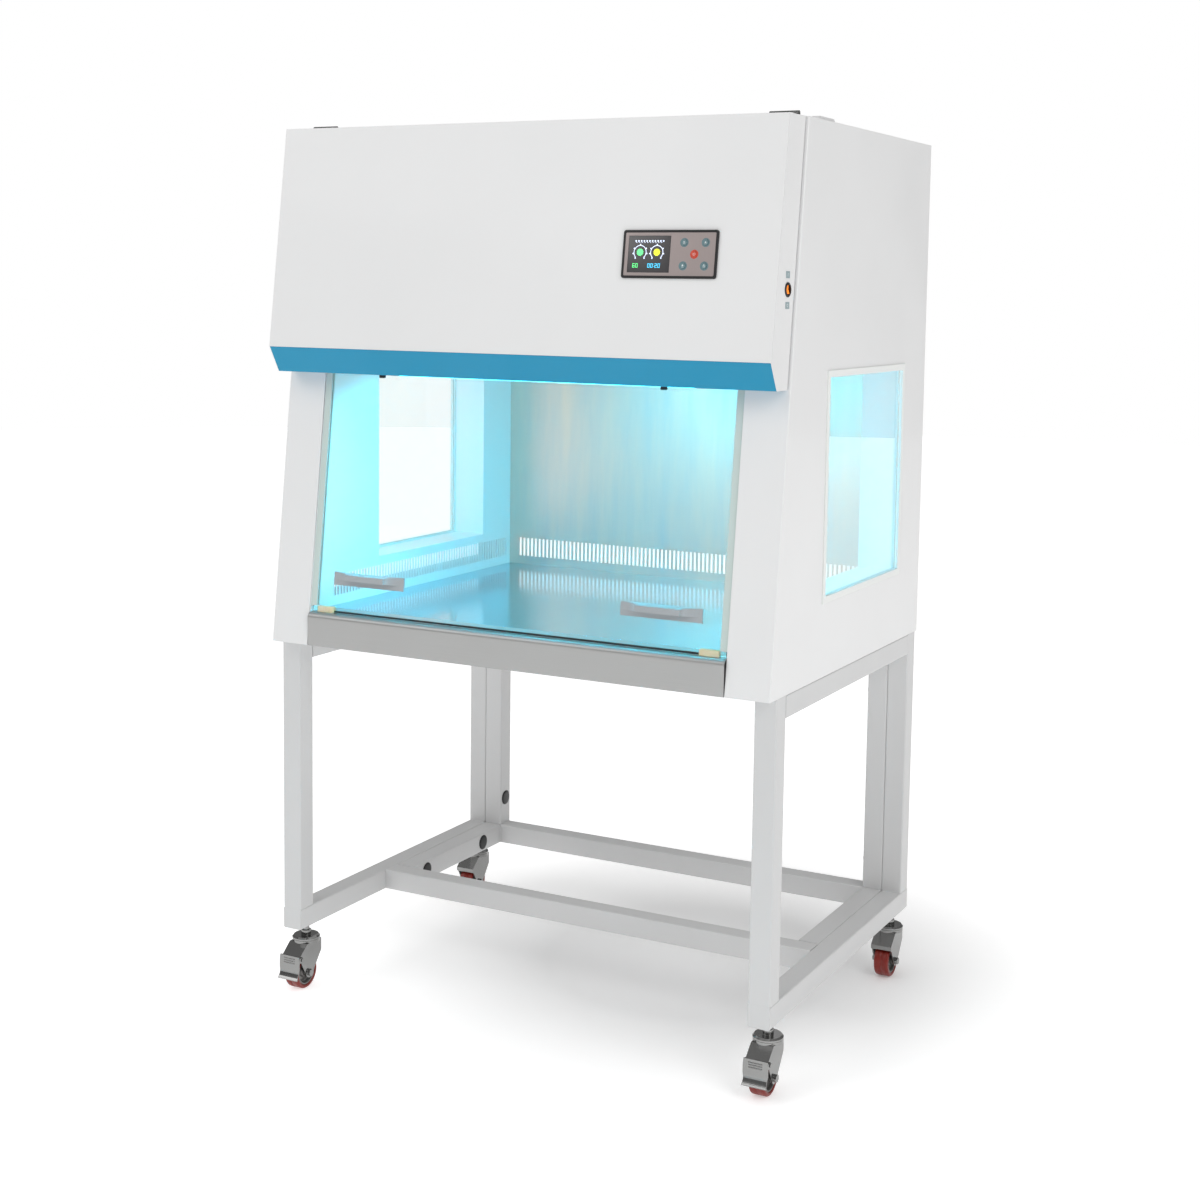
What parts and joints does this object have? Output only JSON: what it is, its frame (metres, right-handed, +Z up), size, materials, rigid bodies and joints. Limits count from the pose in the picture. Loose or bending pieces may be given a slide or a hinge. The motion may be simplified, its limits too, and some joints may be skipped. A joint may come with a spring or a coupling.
{
  "type": "laminar flow cabinet",
  "caption": "Clean-air work cabinet with a sloping glass sash, side windows and a hinged control front, on a square-tube stand with swivel casters",
  "frame": {"origin": "on the floor under the middle of the overall box", "axes": "X to the user's right, Y to the back, Z up; the sash and controls face -Y"},
  "size_m": [1.013, 0.755, 1.6305],
  "materials": {
    "powder_coat": "fine textured powder coat, light grey",
    "stand_paint": "powder coat, light grey",
    "inner_paint": "smooth white paint",
    "stainless": "brushed stainless steel",
    "trim_blue": "teal powder coat",
    "zinc": "bright zinc plate",
    "tread_red": "dark red polyurethane",
    "black_plastic": "black plastic",
    "black_rubber": "black rubber",
    "seal_white": "white rubber",
    "pad_cream": "translucent cream plastic",
    "clear_glass": "clear toughened glass",
    "aluminium": "anodised aluminium",
    "fascia": "satin grey-mauve anodised",
    "screen": "dark display window",
    "button_teal": "glossy teal grey",
    "button_red": "glossy red",
    "rocker_orange": "lit orange",
    "galvanised": "galvanised sheet",
    "filter_media": "pleated white filter paper",
    "lamp_glass": "lamp tube",
    "motor_black": "black painted"
  },
  "bodies": {
    "stand_and_cabinet": {"side_frame_left": "stand_paint", "side_frame_right": "stand_paint", "cross_frame": "stand_paint", "frame_bolts": "zinc", "bolt_plugs": "black_plastic", "caster_stems": "zinc", "side_panel_left": "powder_coat", "side_panel_right": "powder_coat", "back_panel": "powder_coat", "roof_panel": "powder_coat", "base_panel": "powder_coat", "inner_wall_left": "inner_paint", "inner_wall_right": "inner_paint", "inner_back_wall": "stainless", "work_surface": "stainless", "front_bar": "stainless", "window_panes": "clear_glass", "window_seals": "seal_white", "cover_plate": "inner_paint", "filter_rails": "aluminium", "hepa_filter": "filter_media", "diffuser": "inner_paint", "pre_filter": "filter_media", "blower_plate": "galvanised", "blower_housing": "galvanised", "blower_motor": "motor_black", "uv_lamp": "lamp_glass", "led_lamp": "lamp_glass", "lamp_holders": "seal_white", "sash_tracks": "inner_paint", "hinge_roof_leaves": "stainless", "power_inlet": "black_plastic"},
    "sash": {"sash_glass": "clear_glass", "sash_handles": "aluminium", "sash_pads": "pad_cream"},
    "door": {"front_panel": "powder_coat", "panel_trim": "trim_blue", "hinge_panel_leaves": "stainless", "sash_stops": "black_rubber", "control_housing": "black_plastic", "control_fascia": "fascia", "display": "screen", "switch_bezel": "black_plastic"},
    "rocker": {"rocker": "rocker_orange"},
    "impeller": {"blower_impeller": "galvanised"},
    "button_stop": {"button_stop": "button_red"},
    "button_up_left": {"button_up_left": "button_teal"},
    "button_up_right": {"button_up_right": "button_teal"},
    "button_low_left": {"button_low_left": "button_teal"},
    "button_low_right": {"button_low_right": "button_teal"},
    "caster_fl": {"caster_fork_fl": "zinc"},
    "wheel_fl": {"caster_wheel_fl": "tread_red"},
    "pedal_fl": {"brake_pedal_fl": "zinc"},
    "caster_fr": {"caster_fork_fr": "zinc"},
    "wheel_fr": {"caster_wheel_fr": "tread_red"},
    "pedal_fr": {"brake_pedal_fr": "zinc"},
    "caster_rl": {"caster_fork_rl": "zinc"},
    "wheel_rl": {"caster_wheel_rl": "tread_red"},
    "caster_rr": {"caster_fork_rr": "zinc"},
    "wheel_rr": {"caster_wheel_rr": "tread_red"}
  },
  "joints": [
    {"name": "sash_slide", "type": "slide", "parent": "stand_and_cabinet", "child": "sash", "axis": [0, 0.1166, 0.9932], "range_m": [0, 0.357]},
    {"name": "door_hinge", "type": "hinge", "parent": "stand_and_cabinet", "child": "door", "pos_m": [0, -0.25601, 1.626], "axis": [-1, 0, 0], "range_deg": [0, 85]},
    {"name": "rocker_switch", "type": "hinge", "parent": "door", "child": "rocker", "pos_m": [0.49063, -0.3176, 1.342], "axis": [0, 1, 0], "range_deg": [0, 16]},
    {"name": "impeller_spin", "type": "hinge", "parent": "stand_and_cabinet", "child": "impeller", "pos_m": [0, 0.04, 1.4517], "axis": [1, 0, 0], "continuous": true},
    {"name": "press_stop", "type": "slide", "parent": "door", "child": "button_stop", "axis": [0, 0.9911, -0.1329], "range_m": [0, 0.001], "stiffness_N_per_m": 800},
    {"name": "press_up_left", "type": "slide", "parent": "door", "child": "button_up_left", "axis": [0, 0.9911, -0.1329], "range_m": [0, 0.001], "stiffness_N_per_m": 800},
    {"name": "press_up_right", "type": "slide", "parent": "door", "child": "button_up_right", "axis": [0, 0.9911, -0.1329], "range_m": [0, 0.001], "stiffness_N_per_m": 800},
    {"name": "press_low_left", "type": "slide", "parent": "door", "child": "button_low_left", "axis": [0, 0.9911, -0.1329], "range_m": [0, 0.001], "stiffness_N_per_m": 800},
    {"name": "press_low_right", "type": "slide", "parent": "door", "child": "button_low_right", "axis": [0, 0.9911, -0.1329], "range_m": [0, 0.001], "stiffness_N_per_m": 800},
    {"name": "swivel_fl", "type": "hinge", "parent": "stand_and_cabinet", "child": "caster_fl", "pos_m": [-0.48, -0.292, 0.089], "axis": [0, 0, 1], "continuous": true},
    {"name": "roll_fl", "type": "hinge", "parent": "caster_fl", "child": "wheel_fl", "pos_m": [-0.48, -0.309, 0.032], "axis": [1, 0, 0], "continuous": true},
    {"name": "brake_fl", "type": "hinge", "parent": "caster_fl", "child": "pedal_fl", "pos_m": [-0.48, -0.334, 0.064], "axis": [-1, 0, 0], "range_deg": [0, 25]},
    {"name": "swivel_fr", "type": "hinge", "parent": "stand_and_cabinet", "child": "caster_fr", "pos_m": [0.48, -0.292, 0.089], "axis": [0, 0, 1], "continuous": true},
    {"name": "roll_fr", "type": "hinge", "parent": "caster_fr", "child": "wheel_fr", "pos_m": [0.48, -0.309, 0.032], "axis": [1, 0, 0], "continuous": true},
    {"name": "brake_fr", "type": "hinge", "parent": "caster_fr", "child": "pedal_fr", "pos_m": [0.48, -0.334, 0.064], "axis": [-1, 0, 0], "range_deg": [0, 25]},
    {"name": "swivel_rl", "type": "hinge", "parent": "stand_and_cabinet", "child": "caster_rl", "pos_m": [-0.48, 0.324, 0.089], "axis": [0, 0, 1], "continuous": true},
    {"name": "roll_rl", "type": "hinge", "parent": "caster_rl", "child": "wheel_rl", "pos_m": [-0.48, 0.307, 0.032], "axis": [1, 0, 0], "continuous": true},
    {"name": "swivel_rr", "type": "hinge", "parent": "stand_and_cabinet", "child": "caster_rr", "pos_m": [0.48, 0.324, 0.089], "axis": [0, 0, 1], "continuous": true},
    {"name": "roll_rr", "type": "hinge", "parent": "caster_rr", "child": "wheel_rr", "pos_m": [0.48, 0.307, 0.032], "axis": [1, 0, 0], "continuous": true}
  ]
}
